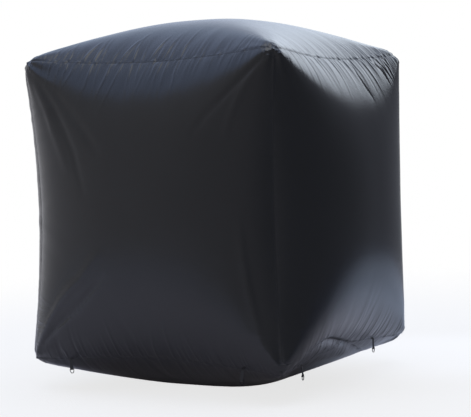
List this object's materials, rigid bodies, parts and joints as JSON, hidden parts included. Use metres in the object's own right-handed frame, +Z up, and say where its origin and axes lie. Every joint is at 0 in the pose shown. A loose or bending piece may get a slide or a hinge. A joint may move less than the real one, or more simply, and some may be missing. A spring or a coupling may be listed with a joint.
{
  "type": "inflatable cube",
  "caption": "Free-standing inflatable cube of black coated cloth with domed sides, sewn seams, foot D-rings for guy lines, a capped air valve and a bladder zip.",
  "frame": {"origin": "on the floor, under the middle of the cube", "axes": "+Z up; the front panel faces -Y, and the panel with the valve and the zip faces +Y"},
  "size_m": [2.453, 2.453, 2.5509],
  "materials": {
    "coated_cloth": "satin black coated polyester",
    "seam_binding": "folded and stitched black cloth",
    "webbing": "woven black polyester webbing",
    "ring_steel": "black zinc plated",
    "valve_plastic": "moulded",
    "zip_tape": "woven tape",
    "zip_nylon": "nylon coil",
    "zip_metal": "black lacquered die casting"
  },
  "bodies": {
    "envelope": {"back_left_seam": "seam_binding", "back_panel": "coated_cloth", "back_right_seam": "seam_binding", "base_back_left_corner": "webbing", "base_back_right_corner": "webbing", "base_back_seam": "seam_binding", "base_front_left_corner": "webbing", "base_front_right_corner": "webbing", "base_front_seam": "seam_binding", "base_left_seam": "seam_binding", "base_panel": "coated_cloth", "base_right_seam": "seam_binding", "front_left_seam": "seam_binding", "front_panel": "coated_cloth", "front_right_seam": "seam_binding", "left_panel": "coated_cloth", "right_panel": "coated_cloth", "tie_loop_back_left": "webbing", "tie_loop_back_right": "webbing", "tie_loop_front_left": "webbing", "tie_loop_front_right": "webbing", "tie_loop_left_back": "webbing", "tie_loop_left_front": "webbing", "tie_loop_right_back": "webbing", "tie_loop_right_front": "webbing", "top_back_left_corner": "webbing", "top_back_right_corner": "webbing", "top_back_seam": "seam_binding", "top_front_left_corner": "webbing", "top_front_right_corner": "webbing", "top_front_seam": "seam_binding", "top_left_seam": "seam_binding", "top_panel": "coated_cloth", "top_right_seam": "seam_binding", "valve_body": "valve_plastic", "zip_puller": "zip_metal", "zip_slider": "zip_metal", "zip_tape": "zip_tape", "zip_teeth": "zip_nylon"},
    "d_ring_back_left": {"d_ring_back_left": "ring_steel"},
    "d_ring_back_right": {"d_ring_back_right": "ring_steel"},
    "d_ring_front_left": {"d_ring_front_left": "ring_steel"},
    "d_ring_front_right": {"d_ring_front_right": "ring_steel"},
    "d_ring_left_back": {"d_ring_left_back": "ring_steel"},
    "d_ring_left_front": {"d_ring_left_front": "ring_steel"},
    "d_ring_right_back": {"d_ring_right_back": "ring_steel"},
    "d_ring_right_front": {"d_ring_right_front": "ring_steel"},
    "valve_cap": {"valve_cap": "valve_plastic"}
  },
  "joints": [
    {"name": "d_ring_back_left_swing", "type": "hinge", "parent": "envelope", "child": "d_ring_back_left", "pos_m": [-0.67099, 0.96294, 0.15109], "axis": [0.9933, -0.0818, 0.0818], "range_deg": [-40, 110]},
    {"name": "d_ring_back_right_swing", "type": "hinge", "parent": "envelope", "child": "d_ring_back_right", "pos_m": [0.67099, 0.96294, 0.15109], "axis": [0.9933, 0.0818, -0.0818], "range_deg": [-40, 110]},
    {"name": "d_ring_front_left_swing", "type": "hinge", "parent": "envelope", "child": "d_ring_front_left", "pos_m": [-0.67099, -0.96294, 0.15109], "axis": [-0.9933, -0.0818, -0.0818], "range_deg": [-40, 110]},
    {"name": "d_ring_front_right_swing", "type": "hinge", "parent": "envelope", "child": "d_ring_front_right", "pos_m": [0.67099, -0.96294, 0.15109], "axis": [-0.9933, 0.0818, 0.0818], "range_deg": [-40, 110]},
    {"name": "d_ring_left_back_swing", "type": "hinge", "parent": "envelope", "child": "d_ring_left_back", "pos_m": [-0.94908, 0.48472, 0.16485], "axis": [-0.0643, 0.9959, -0.0643], "range_deg": [-40, 110]},
    {"name": "d_ring_left_front_swing", "type": "hinge", "parent": "envelope", "child": "d_ring_left_front", "pos_m": [-0.96294, -0.67099, 0.15109], "axis": [0.0818, 0.9933, 0.0818], "range_deg": [-40, 110]},
    {"name": "d_ring_right_back_swing", "type": "hinge", "parent": "envelope", "child": "d_ring_right_back", "pos_m": [0.94908, 0.48472, 0.16485], "axis": [-0.0643, -0.9959, 0.0643], "range_deg": [-40, 110]},
    {"name": "d_ring_right_front_swing", "type": "hinge", "parent": "envelope", "child": "d_ring_right_front", "pos_m": [0.96294, -0.67099, 0.15109], "axis": [0.0818, -0.9933, -0.0818], "range_deg": [-40, 110]},
    {"name": "valve_cap_lid", "type": "hinge", "parent": "envelope", "child": "valve_cap", "pos_m": [-0.52521, 1.17069, 0.79176], "axis": [0.9809, 0.1944, 0], "range_deg": [0, 160]}
  ]
}
